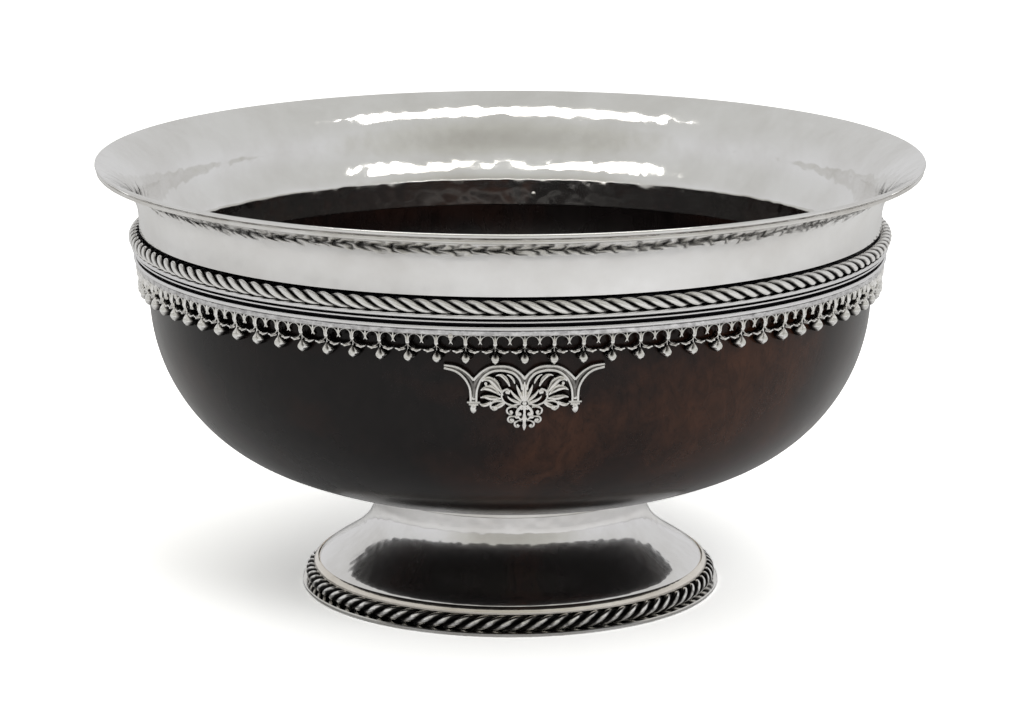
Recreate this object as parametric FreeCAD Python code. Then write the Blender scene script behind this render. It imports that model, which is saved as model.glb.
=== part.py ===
import FreeCAD, Part
import math
import os

# A turned maple drinking bowl with silver mounts: a flared lip, a girdle of mouldings,
# a pierced cresting, one pendant at the front and a spreading foot.
# Millimetres. Z is up, the origin is the middle of the base, the pendant faces -Y.

# Foot
foot_wall_radius = 67.7
foot_wall_thickness = 1.5
foot_rope_diameter = 5.2
flange_margin = 1.2
flange_thickness = 1.3
step_reach = 2.5
step_height = 2.7
step_seat_depth = 1.1
foot_edge_reach = 0.7
neck_radius = 48.2
foot_sheet = 1.2
neck_fall = 0.6
edge_rise = 0.2
edge_lean = 0.2
foot_height = 38.1
neck_length = 5.6
plate_thickness = 1.5
top_ring_stand = 1.8
top_ring_height = 2.9

# Wooden bowl. Its outside and inside are tangent arcs, from the upright wall down to a flat
# bottom. Each turn is the slope, in degrees from upright, at which one arc hands over to the next.
bowl_radius = 126.95
outer_arc_radii = [112.0, 63.2, 118.0]
outer_turns = [7.1, 65.4]
rim_wall = 5.75
inner_arc_radii = [54.2, 141.0]
inner_turns = [66.2]
bottom_thickness = 9.9

# Lip, collar and sleeve, raised from one sheet
lip_reach = 15.0
flare_height = 22.2
flare_power = 3.2
lip_sheet = 1.3
throat_share = 0.3
throat_pull = 8.0
bend_above = 2.5
bend_below = 1.5
collar_stand = 3.05
collar_rise = 17.7
sleeve_stand = 0.2
sleeve_depth = 11.0
bevel_height = 6.0
lip_wire_diameter = 1.4
lip_wire_share = 0.96

# Girdle mouldings, stacked down from the collar; each gap is the bare strip above a moulding
band_thickness = 1.8
girdle_rope_gap = 0.8
girdle_rope_diameter = 4.6
bead_gap = 0.15
bead_height = 1.3
bead_depth = 3.6
ridge_gap = 0.85
ridge_height = 0.6
ridge_depth = 2.7
lower_bead_gap = 1.15
lower_bead_height = 1.3
lower_bead_depth = 2.9
rail_gap = 0.15

# Pierced cresting
bay_count = 86
cresting_depth = 4.1
rail_height = 0.8
rail_lap = 0.9
arcade_height = 4.7
spandrel_height = 0.4
stem_width = 0.7
cusp_width = 0.6
ornament_depth = 3.2
node_ball_radius = 0.95
node_ball_drop = 1.2
leaf_reach = 3.0
leaf_middle_reach = 1.5
leaf_peak_reach = 2.7
leaf_under_reach = 2.25
leaf_under_rise = 0.1
leaf_drop = 1.2
leaf_curl = 0.7
leaf_thickness = 1.1
throat_half_width = 0.9
drop_half_width = 2.0
drop_height = 3.4
drop_widest = 0.4

# Rivets through cresting, wood and sleeve, placed by bays to the right of the pendant
rivet_bays = [-14.5, -2.5, 12.5, 26.5, 41.5, 56.5]
rivet_radius = 0.6
rivet_head_radius = 0.85
rivet_head_height = 0.6
rivet_drop = 1.0

# Pendant
pendant_drop = 10.6
pendant_thickness = 2.3
arch_spacing = 16.4
arch_overlap = 1.5
arch_bar = 2.0
arm_length = 9.8
arm_hollow = 3.3
arm_root = 5.0
column_width = 3.4
column_foot = 13.0
column_bud = 4.0
pendant_height = 22.8
pendant_tip_half_width = 2.4
pendant_tip_height = 2.6
foot_curve_drop = 2.2
window_margin = 1.6
window_foot = 2.2
leaf_half_width = 2.6
peg_radius = 0.8
peg_length = 3.0
peg_seat = 1.2

# Print, the disc in the bottom of the bowl, and what holds the foot on
print_radius = 28.0
print_thickness = 1.2
print_recess = 1.0
print_dome = 1.8
print_wire_diameter = 1.8
print_ledge = 0.4
rosette_radius = 13.0
rosette_relief = 0.9
rosette_petals = 6
petal_share = 0.36
heart_share = 0.4
stud_radius = 3.0
stud_past_nut = 1.5
washer_radius = 9.0
washer_thickness = 1.2
nut_across_flats = 10.0
nut_height = 4.0

# Clearances
seat_gap = 0.1
hole_gap = 0.05

# How far a cutting solid runs past what it cuts
cut_through = 2.0

# Turned solids and round bars start their seam at this angle, clear of every hole
seam_angle = 37

# Heights and radii that follow from the sizes above
flange_radius = foot_wall_radius + foot_rope_diameter + flange_margin
step_radius = foot_wall_radius + step_reach
foot_edge_radius = foot_wall_radius + foot_edge_reach
top_ring_radius = neck_radius + top_ring_stand
wall_top = flange_thickness + foot_rope_diameter
shell_seat = wall_top + step_height - step_seat_depth
plate_bottom = foot_height - plate_thickness
neck_bottom = plate_bottom - neck_length
bore_radius = bowl_radius - rim_wall
collar_radius = bowl_radius + collar_stand
lip_radius = collar_radius + lip_reach
sleeve_radius = bore_radius - sleeve_stand
sleeve_outer_radius = sleeve_radius + lip_sheet
inner_bottom = foot_height + bottom_thickness
print_base = inner_bottom - print_recess
mount_radius = bowl_radius + seat_gap
band_radius = mount_radius + band_thickness
moulding_radius = band_radius + hole_gap
nut_bottom = plate_bottom - washer_thickness - nut_height
stud_bottom = nut_bottom - stud_past_nut


def point(radius, height):
    return FreeCAD.Vector(radius, 0, height)


def slope_point(centre, radius, slope):
    """The point of an arc where it slopes so many degrees from upright."""
    angle = math.radians(slope)
    return centre + point(radius * math.cos(angle), -radius * math.sin(angle))


def bowl_curve(wall_radius, bottom, radii, turns):
    """Arcs from an upright wall down and in to a flat bottom: centre, radius, first and last slope."""
    slopes = [0] + turns + [90]
    drop = 0
    for radius, first, last in zip(radii, slopes, slopes[1:]):
        drop += radius * (math.sin(math.radians(last)) - math.sin(math.radians(first)))
    start = point(wall_radius, bottom + drop)
    arcs = []
    for radius, first, last in zip(radii, slopes, slopes[1:]):
        centre = start - slope_point(point(0, 0), radius, first)
        arcs.append((centre, radius, first, last))
        start = slope_point(centre, radius, last)
    return arcs


outer_curve = bowl_curve(bowl_radius, foot_height, outer_arc_radii, outer_turns)
inner_curve = bowl_curve(bore_radius, inner_bottom, inner_arc_radii, inner_turns)
shoulder = outer_curve[0][0].z
collar_bottom = shoulder + collar_rise
bevel_bottom = collar_bottom - bevel_height
sleeve_bottom = bevel_bottom - sleeve_depth
rope_middle = collar_bottom - girdle_rope_gap - girdle_rope_diameter / 2
bead_middle = rope_middle - girdle_rope_diameter / 2 - bead_gap - bead_height / 2
ridge_middle = bead_middle - bead_height / 2 - ridge_gap - ridge_height / 2
lower_bead_middle = ridge_middle - ridge_height / 2 - lower_bead_gap - lower_bead_height / 2
band_bottom = lower_bead_middle - lower_bead_height / 2 - rail_gap - rail_lap
cresting_radius = mount_radius + cresting_depth
rail_bottom = band_bottom - hole_gap - rail_height
arcade_bottom = rail_bottom + rail_height - arcade_height
ornament_radius = mount_radius + ornament_depth
bay_angle = 360.0 / bay_count
bay_pitch = 2 * math.pi * ornament_radius / bay_count
rivet_height = band_bottom - rivet_drop
pendant_top = band_bottom - pendant_drop
arch_radius = arch_spacing / 2 + arch_overlap
arm_reach = arch_spacing + arm_length


def line(start, end):
    return Part.makeLine(start, end)


def chain(points):
    """Straight edges from each point to the next."""
    return [line(start, end) for start, end in zip(points, points[1:])]


def smooth(points):
    """One smooth edge through the points."""
    curve = Part.BSplineCurve()
    curve.interpolate(points)
    return curve.toShape()


def arc(start, middle, end):
    return Part.Arc(start, middle, end).toShape()


def turned(edges):
    """The solid that a closed half section makes when it is turned round the Z axis."""
    centre = FreeCAD.Vector(0, 0, 0)
    up = FreeCAD.Vector(0, 0, 1)
    wire = Part.Wire(Part.__sortEdges__(edges))
    solid = Part.Face(wire).revolve(centre, up, 360)
    solid.rotate(centre, up, seam_angle)
    return solid


def turned_outline(pairs):
    corners = [point(radius, height) for radius, height in pairs]
    return turned(chain(corners + corners[:1]))


def ring_wire(centre_radius, height, diameter):
    return Part.makeTorus(centre_radius, diameter / 2, FreeCAD.Vector(0, 0, height))


def rounded_strip(inner_radius, depth, middle, height):
    """A strip bent round the bowl, its outer edge a half round."""
    nose = inner_radius + depth - height / 2
    low = middle - height / 2
    high = middle + height / 2
    edges = chain([point(nose, high), point(inner_radius, high), point(inner_radius, low), point(nose, low)])
    edges.append(arc(point(nose, low), point(inner_radius + depth, middle), point(nose, high)))
    return turned(edges)


def round_the_bowl(shape, bays):
    """A copy of a shape made at the front, moved to the right by so many bays."""
    copy = shape.copy()
    copy.rotate(FreeCAD.Vector(0, 0, 0), FreeCAD.Vector(0, 0, 1), bays * bay_angle)
    return copy


def front_cylinder(radius, near, far, height, across=0):
    """A round bar through the front of the bowl, from one distance off the axis to another."""
    start = FreeCAD.Vector(across, -near, height)
    outwards = FreeCAD.Vector(0, -1, 0)
    bar = Part.makeCylinder(radius, far - near, start, outwards)
    bar.rotate(start, outwards, seam_angle)
    return bar


def front_prism(edges, near, far):
    """A flat outline in X and Z, thickened away from the axis at the front."""
    face = Part.Face(Part.Wire(Part.__sortEdges__(edges)))
    prism = face.extrude(FreeCAD.Vector(0, near - far, 0))
    prism.translate(FreeCAD.Vector(0, -near, 0))
    return prism


def front_polygon(pairs, near, far):
    corners = [point(across, height) for across, height in pairs]
    return front_prism(chain(corners + corners[:1]), near, far)


def curve_edges(curve, offset=0):
    """The arcs of a bowl curve as edges, standing off it by an offset."""
    edges = []
    for centre, radius, first, last in curve:
        slopes = (first, (first + last) / 2, last)
        edges.append(arc(*[slope_point(centre, radius + offset, slope) for slope in slopes]))
    return edges


def outer_radius(height, offset):
    """Radius, at a height, of a surface that stands off the outside of the wood by an offset."""
    for centre, radius, first, last in outer_curve:
        if height >= slope_point(centre, radius + offset, last).z:
            break
    fall = max(centre.z - height, 0)
    return centre.x + math.sqrt((radius + offset) ** 2 - fall ** 2)


def bevel_point(radius):
    """A point on the sloping line where the lip sheet crosses the rim of the wood."""
    share = (radius - sleeve_outer_radius) / (collar_radius - sleeve_outer_radius)
    return point(radius, bevel_bottom + share * bevel_height)


def flare_slope(share):
    """Slope from upright of the flare, in radians, from 0 at the collar to 1 at the lip."""
    return math.atan(lip_reach * flare_power / flare_height * share ** (flare_power - 1))


def flare_point(share, offset):
    """A point on the flare, from 0 at the collar to 1 at the lip, so far in from its outside."""
    radius = collar_radius + lip_reach * share ** flare_power
    height = collar_bottom + flare_height * share
    slope = flare_slope(share)
    return point(radius - offset * math.cos(slope), height + offset * math.sin(slope))


def rivet_holes():
    near = sleeve_radius - cut_through
    hole = front_cylinder(rivet_radius + hole_gap, near, cresting_radius + cut_through, rivet_height)
    return Part.makeCompound([round_the_bowl(hole, bays) for bays in rivet_bays])


def maple_bowl():
    outside = curve_edges(outer_curve)
    inside = curve_edges(inner_curve)
    rebate_radius = sleeve_outer_radius + seat_gap
    rim = [
        outside[0].firstVertex().Point,
        bevel_point(bowl_radius) - FreeCAD.Vector(0, 0, seat_gap),
        bevel_point(rebate_radius) - FreeCAD.Vector(0, 0, 2 * seat_gap),
        point(rebate_radius, sleeve_bottom - seat_gap),
        point(bore_radius, sleeve_bottom - seat_gap),
        inside[0].firstVertex().Point,
    ]
    base = [
        inside[-1].lastVertex().Point,
        point(0, inner_bottom),
        point(0, foot_height),
        outside[-1].lastVertex().Point,
    ]
    wood = turned(outside + inside + chain(rim) + chain(base))
    recess = Part.makeCylinder(print_radius + seat_gap, bottom_thickness, FreeCAD.Vector(0, 0, print_base))
    hole_start = FreeCAD.Vector(0, 0, foot_height)
    stud_hole = Part.makeCylinder(stud_radius + seat_gap, bottom_thickness, hole_start)
    return wood.cut(Part.makeCompound([recess, stud_hole])).cut(rivet_holes()).cut(peg_holes())


def lip_throat(top):
    """The inside of the lip sheet, from a point on the flare down to a bend into the sleeve."""
    slope = flare_slope(throat_share)
    throat = Part.BezierCurve()
    throat.setPoles([
        top,
        top - point(math.sin(slope), math.cos(slope)) * throat_pull,
        point(sleeve_radius, bevel_bottom + bend_above),
        point(sleeve_radius, bevel_bottom - bend_below),
    ])
    return throat.toShape()


def lip_mount():
    steps = 10
    outside = [flare_point(step / steps, 0) for step in range(steps + 1)]
    shares = [throat_share + (1 - throat_share) * step / steps for step in range(steps + 1)]
    inside = [flare_point(share, lip_sheet) for share in shares]
    edges = [smooth(outside), smooth(inside), line(outside[-1], inside[-1]), lip_throat(inside[0])]
    edges += chain([
        outside[0],
        bevel_point(sleeve_outer_radius),
        point(sleeve_outer_radius, sleeve_bottom),
        point(sleeve_radius, sleeve_bottom),
        point(sleeve_radius, bevel_bottom - bend_below),
    ])
    return turned(edges).cut(rivet_holes())


def lip_wire():
    middle = flare_point(lip_wire_share, -(lip_wire_diameter / 2 + seat_gap))
    return ring_wire(middle.x, middle.z, lip_wire_diameter)


def girdle_band():
    inner_top = bevel_point(mount_radius).z - seat_gap
    outer_top = bevel_point(band_radius).z - seat_gap
    return turned_outline([
        (mount_radius, band_bottom),
        (band_radius, band_bottom),
        (band_radius, outer_top),
        (mount_radius, inner_top),
    ])


def girdle_rope():
    centre = moulding_radius + girdle_rope_diameter / 2
    return ring_wire(centre, rope_middle, girdle_rope_diameter)


def girdle_bead():
    return rounded_strip(moulding_radius, bead_depth, bead_middle, bead_height)


def girdle_ridge():
    return rounded_strip(moulding_radius, ridge_depth, ridge_middle, ridge_height)


def girdle_lower_bead():
    return rounded_strip(moulding_radius, lower_bead_depth, lower_bead_middle, lower_bead_height)


def cresting_window(side):
    """The open arch on one side of a stem, cut up from the bottom of the arcade."""
    near = side * stem_width / 2
    far = side * (bay_pitch / 2 - cusp_width / 2)
    radius = abs(far - near) / 2
    spring = arcade_bottom + arcade_height - rail_height - spandrel_height - radius
    low = arcade_bottom - cut_through
    edges = chain([point(far, spring), point(far, low), point(near, low), point(near, spring)])
    edges.append(arc(point(near, spring), point((near + far) / 2, spring + radius), point(far, spring)))
    return front_prism(edges, mount_radius - cut_through, cresting_radius + cut_through)


def cresting_ornament():
    """The ball, leaf pair and bud drop that hang from one stem."""
    leaf = arcade_bottom - leaf_drop
    throat = leaf - leaf_thickness
    right = [
        (stem_width / 2, arcade_bottom + leaf_curl),
        (stem_width / 2, leaf + leaf_curl),
        (leaf_middle_reach, leaf),
        (leaf_peak_reach, leaf + leaf_curl),
        (leaf_reach, leaf),
        (leaf_under_reach, throat + leaf_under_rise),
        (throat_half_width, throat),
        (drop_half_width, throat - drop_height * drop_widest),
    ]
    left = [(-across, height) for across, height in reversed(right)]
    tip = [(0, throat - drop_height)]
    spray = front_polygon(right + tip + left, mount_radius, ornament_radius)
    ball_centre = FreeCAD.Vector(0, -ornament_radius, arcade_bottom + node_ball_drop)
    return spray.fuse(Part.makeSphere(node_ball_radius, ball_centre))


def cresting():
    lap_radius = band_radius + seat_gap
    rail_top = band_bottom + rail_lap
    strip = turned_outline([
        (mount_radius, arcade_bottom),
        (cresting_radius, arcade_bottom),
        (cresting_radius, rail_top),
        (lap_radius, rail_top),
        (lap_radius, band_bottom - hole_gap),
        (mount_radius, band_bottom - hole_gap),
    ])
    windows = []
    ornaments = []
    for bay in range(bay_count):
        windows.append(round_the_bowl(cresting_window(1), bay))
        windows.append(round_the_bowl(cresting_window(-1), bay))
        ornaments.append(round_the_bowl(cresting_ornament(), bay))
    arcade = strip.cut(Part.makeCompound(windows)).cut(rivet_holes())
    return arcade.multiFuse(ornaments)


def mount_rivets():
    shank = front_cylinder(rivet_radius, sleeve_radius - seat_gap, cresting_radius + seat_gap, rivet_height)
    outer_head = front_cylinder(
        rivet_head_radius, cresting_radius + seat_gap, cresting_radius + rivet_head_height, rivet_height
    )
    inner_head = front_cylinder(
        rivet_head_radius, sleeve_radius - rivet_head_height, sleeve_radius - seat_gap, rivet_height
    )
    rivet = shank.multiFuse([outer_head, inner_head])
    return Part.makeCompound([round_the_bowl(rivet, bays) for bays in rivet_bays])


def pendant_shell():
    """The curved slab, lying on the outside of the wood, that the pendant is cut from."""
    back = curve_edges(outer_curve, seat_gap)
    front = curve_edges(outer_curve, pendant_thickness)
    top_edge = line(back[0].firstVertex().Point, front[0].firstVertex().Point)
    low_edge = line(back[-1].lastVertex().Point, front[-1].lastVertex().Point)
    return turned(back + front + [top_edge, low_edge])


def pendant_outline():
    """The pendant's outer edge: two round arches, two arms, columns with buds and a pointed foot."""
    half = arch_spacing / 2
    centre = pendant_top - arch_radius
    notch = centre + math.sqrt(arch_radius ** 2 - half ** 2)
    foot = pendant_top - column_foot
    outer = arch_spacing + column_width / 2
    inner = arch_spacing - column_width / 2
    arm_top = point(arm_reach, pendant_top)
    arm_under = point(arm_reach, pendant_top - arch_bar)
    root = point(outer, notch - arm_root)
    tip_side = point(pendant_tip_half_width, pendant_top - pendant_height + pendant_tip_height)
    right = [
        arc(point(0, notch), point(half, pendant_top), point(arch_spacing, notch)),
        arc(point(arch_spacing, notch), point(arch_spacing + arm_hollow, notch + arm_hollow), arm_top),
        line(arm_top, arm_under),
        arc(arm_under, point(outer + arm_hollow / 2, notch), root),
        arc(point(inner, foot), point(half, foot - foot_curve_drop), tip_side),
        line(tip_side, point(0, pendant_top - pendant_height)),
    ]
    right += chain([root, point(outer, foot), point(arch_spacing, foot - column_bud), point(inner, foot)])
    left = [edge.mirror(FreeCAD.Vector(0, 0, 0), FreeCAD.Vector(1, 0, 0)) for edge in right]
    return right + left


def pendant_window(side):
    """The opening under one arch, its lower edge following the foot of the pendant."""
    half = arch_spacing / 2
    centre = pendant_top - arch_radius
    inner = arch_radius - arch_bar
    near = side * window_margin
    far = side * (arch_spacing - window_margin)
    spring = centre + math.sqrt(inner ** 2 - (half - window_margin) ** 2)
    low = pendant_top - column_foot
    far_foot = point(far, low + window_margin)
    near_foot = point(near, low - window_foot)
    edges = [
        arc(point(near, spring), point(side * half, centre + inner), point(far, spring)),
        line(point(far, spring), far_foot),
        arc(far_foot, point(side * half, low - window_foot / 2), near_foot),
        line(near_foot, point(near, spring)),
    ]
    return front_prism(edges, mount_radius - pendant_height, mount_radius + pendant_height)


def pendant_leaf(side):
    """A pointed leaf standing in one window, joined to the arch above and the edge below."""
    half = side * arch_spacing / 2
    top = pendant_top - arch_bar / 2
    low = pendant_top - column_foot - window_foot
    middle = (top + low) / 2
    edges = [
        arc(point(half, top), point(half + leaf_half_width, middle), point(half, low)),
        arc(point(half, top), point(half - leaf_half_width, middle), point(half, low)),
    ]
    return front_prism(edges, mount_radius - pendant_height, mount_radius + pendant_height)


def pendant():
    plate = front_prism(pendant_outline(), mount_radius - pendant_height, mount_radius + pendant_height)
    plate = plate.cut(Part.makeCompound([pendant_window(1), pendant_window(-1)]))
    plate = plate.multiFuse([pendant_leaf(1), pendant_leaf(-1)])
    return plate.common(pendant_shell()).cut(peg_holes())


def peg_places():
    """Across and height of the four pegs behind the pendant, two at the columns and two at its foot."""
    high = pendant_top - column_foot + column_width / 2
    tip_top = pendant_top - pendant_height + pendant_tip_height
    window_low = pendant_top - column_foot - window_foot
    low = (tip_top + window_low) / 2
    places = []
    for side in (-1, 1):
        places.append((side * arch_spacing, high))
        places.append((side * pendant_tip_half_width, low))
    return places


def peg_face(across, height):
    """Distance in front of the axis at which the back of the pendant lies there."""
    return math.sqrt(outer_radius(height, seat_gap) ** 2 - across ** 2)


def peg_holes():
    holes = []
    for across, height in peg_places():
        face = peg_face(across, height)
        near = face - peg_length - seat_gap
        holes.append(front_cylinder(peg_radius + hole_gap, near, face + peg_seat + hole_gap, height, across))
    return Part.makeCompound(holes)


def pendant_pegs():
    pegs = []
    for across, height in peg_places():
        face = peg_face(across, height)
        pegs.append(front_cylinder(peg_radius, face - peg_length, face + peg_seat, height, across))
    return Part.makeCompound(pegs)


def base_flange():
    inner = foot_wall_radius - foot_wall_thickness
    return turned_outline([
        (inner, 0),
        (flange_radius, 0),
        (flange_radius, flange_thickness),
        (foot_wall_radius, flange_thickness),
        (foot_wall_radius, wall_top),
        (inner, wall_top),
    ])


def foot_rope():
    centre = foot_wall_radius + hole_gap + foot_rope_diameter / 2
    return ring_wire(centre, flange_thickness + foot_rope_diameter / 2, foot_rope_diameter)


def foot_step_ring():
    inner = foot_wall_radius - foot_wall_thickness
    lip = foot_edge_radius + seat_gap
    top = wall_top + step_height
    return turned_outline([
        (inner, wall_top),
        (step_radius, wall_top),
        (step_radius, wall_top + step_height / 2),
        ((step_radius + lip) / 2, top - step_height / 6),
        (lip, top),
        (lip, shell_seat),
        (inner, shell_seat),
    ])


def foot_shell():
    """Neck and spreading foot. Its curve starts straight down and ends nearly so."""
    drop = neck_bottom - shell_seat
    curve_start = point(neck_radius, neck_bottom)
    curve_end = point(foot_edge_radius, shell_seat)
    outside = Part.BezierCurve()
    outside.setPoles([
        curve_start,
        curve_start - FreeCAD.Vector(0, 0, neck_fall * drop),
        curve_end + FreeCAD.Vector(-edge_lean, 0, edge_rise * drop),
        curve_end,
    ])
    inside = Part.BezierCurve()
    inner_start = curve_start - FreeCAD.Vector(foot_sheet, 0, 0)
    inner_end = curve_end - FreeCAD.Vector(foot_sheet, 0, 0)
    inside.setPoles([
        inner_start,
        inner_start - FreeCAD.Vector(0, 0, neck_fall * drop + foot_sheet / 2),
        inner_end + FreeCAD.Vector(-edge_lean, 0, edge_rise * drop - foot_sheet / 2),
        inner_end,
    ])
    edges = [outside.toShape(), inside.toShape(), line(inner_end, curve_end)]
    edges += chain([
        curve_start,
        point(neck_radius, plate_bottom),
        point(neck_radius - foot_sheet, plate_bottom),
        inner_start,
    ])
    return turned(edges)


def foot_top_ring():
    inner = neck_radius + hole_gap
    return turned_outline([
        (inner, foot_height - top_ring_height),
        (top_ring_radius, foot_height - top_ring_height),
        (top_ring_radius, foot_height),
        (inner, foot_height),
    ])


def foot_plate():
    plate = Part.makeCylinder(neck_radius, plate_thickness, FreeCAD.Vector(0, 0, plate_bottom))
    hole = Part.makeCylinder(stud_radius + seat_gap, plate_thickness, FreeCAD.Vector(0, 0, plate_bottom))
    return plate.cut(hole)


def print_top(radius):
    """Height of the domed face of the print."""
    edge = print_radius - print_wire_diameter - print_ledge
    return print_base + print_thickness + print_dome * (1 - (radius / edge) ** 2)


def print_disc():
    edge = print_radius - print_wire_diameter - print_ledge
    rim = print_base + print_thickness
    edges = [arc(point(0, print_top(0)), point(edge / 2, print_top(edge / 2)), point(edge, rim))]
    edges += chain([
        point(edge, rim),
        point(print_radius, rim),
        point(print_radius, print_base),
        point(0, print_base),
        point(0, print_top(0)),
    ])
    return turned(edges)


def print_wire():
    centre = print_radius - print_wire_diameter / 2
    height = print_base + print_thickness + print_wire_diameter / 2
    return ring_wire(centre, height, print_wire_diameter)


def print_rosette():
    """A rosette of round petals lying on the domed face of the print."""
    petal_radius = rosette_radius * petal_share
    tall = print_thickness + print_dome + rosette_relief + cut_through
    petals = []
    for petal in range(rosette_petals):
        angle = 2 * math.pi * petal / rosette_petals
        place = FreeCAD.Vector(math.cos(angle), math.sin(angle), 0) * (rosette_radius - petal_radius)
        petals.append(Part.makeCylinder(petal_radius, tall, place + FreeCAD.Vector(0, 0, print_base)))
    heart = Part.makeCylinder(rosette_radius * heart_share, tall, FreeCAD.Vector(0, 0, print_base))
    layer = print_disc()
    layer.translate(FreeCAD.Vector(0, 0, rosette_relief))
    return heart.multiFuse(petals).common(layer).cut(print_disc())


def print_stud():
    return Part.makeCylinder(stud_radius, print_base - stud_bottom, FreeCAD.Vector(0, 0, stud_bottom))


def foot_washer():
    start = FreeCAD.Vector(0, 0, plate_bottom - washer_thickness)
    disc = Part.makeCylinder(washer_radius, washer_thickness, start)
    return disc.cut(Part.makeCylinder(stud_radius + seat_gap, washer_thickness, start))


def foot_nut():
    corner = nut_across_flats / math.sqrt(3)
    corners = []
    for side in range(6):
        angle = math.radians(60 * side)
        corners.append(FreeCAD.Vector(corner * math.cos(angle), corner * math.sin(angle), nut_bottom))
    block = Part.Face(Part.makePolygon(corners + corners[:1])).extrude(FreeCAD.Vector(0, 0, nut_height))
    return block.cut(Part.makeCylinder(stud_radius + hole_gap, nut_height, FreeCAD.Vector(0, 0, nut_bottom)))


pieces = {
    "maple_bowl": maple_bowl,
    "lip_mount": lip_mount,
    "lip_wire": lip_wire,
    "girdle_band": girdle_band,
    "girdle_rope": girdle_rope,
    "girdle_bead": girdle_bead,
    "girdle_ridge": girdle_ridge,
    "girdle_lower_bead": girdle_lower_bead,
    "cresting": cresting,
    "mount_rivets": mount_rivets,
    "pendant": pendant,
    "pendant_pegs": pendant_pegs,
    "foot_top_ring": foot_top_ring,
    "foot_plate": foot_plate,
    "foot_shell": foot_shell,
    "foot_step_ring": foot_step_ring,
    "foot_rope": foot_rope,
    "base_flange": base_flange,
    "print_disc": print_disc,
    "print_wire": print_wire,
    "print_rosette": print_rosette,
    "print_stud": print_stud,
    "foot_washer": foot_washer,
    "foot_nut": foot_nut,
}

os.makedirs("parts", exist_ok=True)
for name, make in pieces.items():
    shape = make()
    shape.exportStep("parts/" + name + ".step")
    print(name, len(shape.Solids), "solids", round(shape.Volume, 1), "mm3", shape.isValid())
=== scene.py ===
import bmesh
import bpy
import math
from mathutils import Matrix, Vector


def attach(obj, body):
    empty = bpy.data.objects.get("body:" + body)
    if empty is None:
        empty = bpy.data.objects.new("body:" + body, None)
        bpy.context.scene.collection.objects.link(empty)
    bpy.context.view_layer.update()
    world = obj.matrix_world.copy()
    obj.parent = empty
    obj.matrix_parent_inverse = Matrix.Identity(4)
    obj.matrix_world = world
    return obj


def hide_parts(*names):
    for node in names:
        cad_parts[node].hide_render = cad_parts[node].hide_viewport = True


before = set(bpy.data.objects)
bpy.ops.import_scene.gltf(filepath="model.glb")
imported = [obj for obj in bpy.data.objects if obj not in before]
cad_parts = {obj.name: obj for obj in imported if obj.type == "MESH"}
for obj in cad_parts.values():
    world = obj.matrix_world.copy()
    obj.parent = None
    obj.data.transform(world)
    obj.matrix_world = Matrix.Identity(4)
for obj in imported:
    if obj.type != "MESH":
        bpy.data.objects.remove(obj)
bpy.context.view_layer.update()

# The bowl. One piece of maple burr, turned outside and in, stained nearly black and waxed. Its
# rim is cut back for the silver sleeve, and its bottom is sunk for the print. Sizes are in
# millimetres here and below; a piece's mesh is made in metres.


def turned_curve(wall_radius, bottom, radii, turns):
    """Points of a bowl's side: arcs from an upright wall down and in to a flat bottom."""
    slopes = [0] + turns + [90]
    drop = 0
    for radius, first, last in zip(radii, slopes, slopes[1:]):
        drop += radius * (math.sin(math.radians(last)) - math.sin(math.radians(first)))
    across, up = wall_radius, bottom + drop
    points = []
    for radius, first, last in zip(radii, slopes, slopes[1:]):
        middle = (across - radius * math.cos(math.radians(first)),
                  up + radius * math.sin(math.radians(first)))
        steps = max(3, round(radius * math.radians(last - first) / 2.2))
        for step in range(steps + 1):
            slope = math.radians(first + (last - first) * step / steps)
            across = middle[0] + radius * math.cos(slope)
            up = middle[1] - radius * math.sin(slope)
            if not points or math.dist(points[-1], (across, up)) > 0.01:
                points.append((across, up))
    return points


def put(tree, kind, inputs=(), **settings):
    """Adds one node to a tree. Each input is a value, or the socket that it is fed from."""
    made = tree.nodes.new(kind)
    for name, value in settings.items():
        setattr(made, name, value)
    for socket, value in dict(inputs).items():
        if isinstance(value, bpy.types.NodeSocket):
            tree.links.new(value, made.inputs[socket])
        else:
            made.inputs[socket].default_value = value
    return made


def start_tree(name, sockets):
    """A Geometry Nodes tree with named inputs. Gives the tree, its input node and its output node."""
    tree = bpy.data.node_groups.new(name, "GeometryNodeTree")
    for title, kind in sockets:
        tree.interface.new_socket(title, in_out="INPUT", socket_type=kind)
    tree.interface.new_socket("Piece", in_out="OUTPUT", socket_type="NodeSocketGeometry")
    return tree, put(tree, "NodeGroupInput"), put(tree, "NodeGroupOutput")


def end_tree(tree, given, out, geometry):
    """Edges sharper than the given angle stay crisp, and the piece gets its finish."""
    angle = put(tree, "GeometryNodeInputMeshEdgeAngle")
    soft = put(tree, "FunctionNodeCompare", {0: angle.outputs[0], 1: given.outputs["Crisp above"]},
               operation="LESS_THAN")
    smooth = put(tree, "GeometryNodeSetShadeSmooth", {0: geometry, "Shade Smooth": True})
    crisp = put(tree, "GeometryNodeSetShadeSmooth",
                {0: smooth.outputs[0], "Shade Smooth": soft.outputs[0]}, domain="EDGE")
    whole = put(tree, "GeometryNodeRealizeInstances", {0: crisp.outputs[0]})
    dressed = put(tree, "GeometryNodeSetMaterial", {0: whole.outputs[0], "Material": given.outputs["Finish"]})
    tree.links.new(dressed.outputs[0], out.inputs[0])


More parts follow.
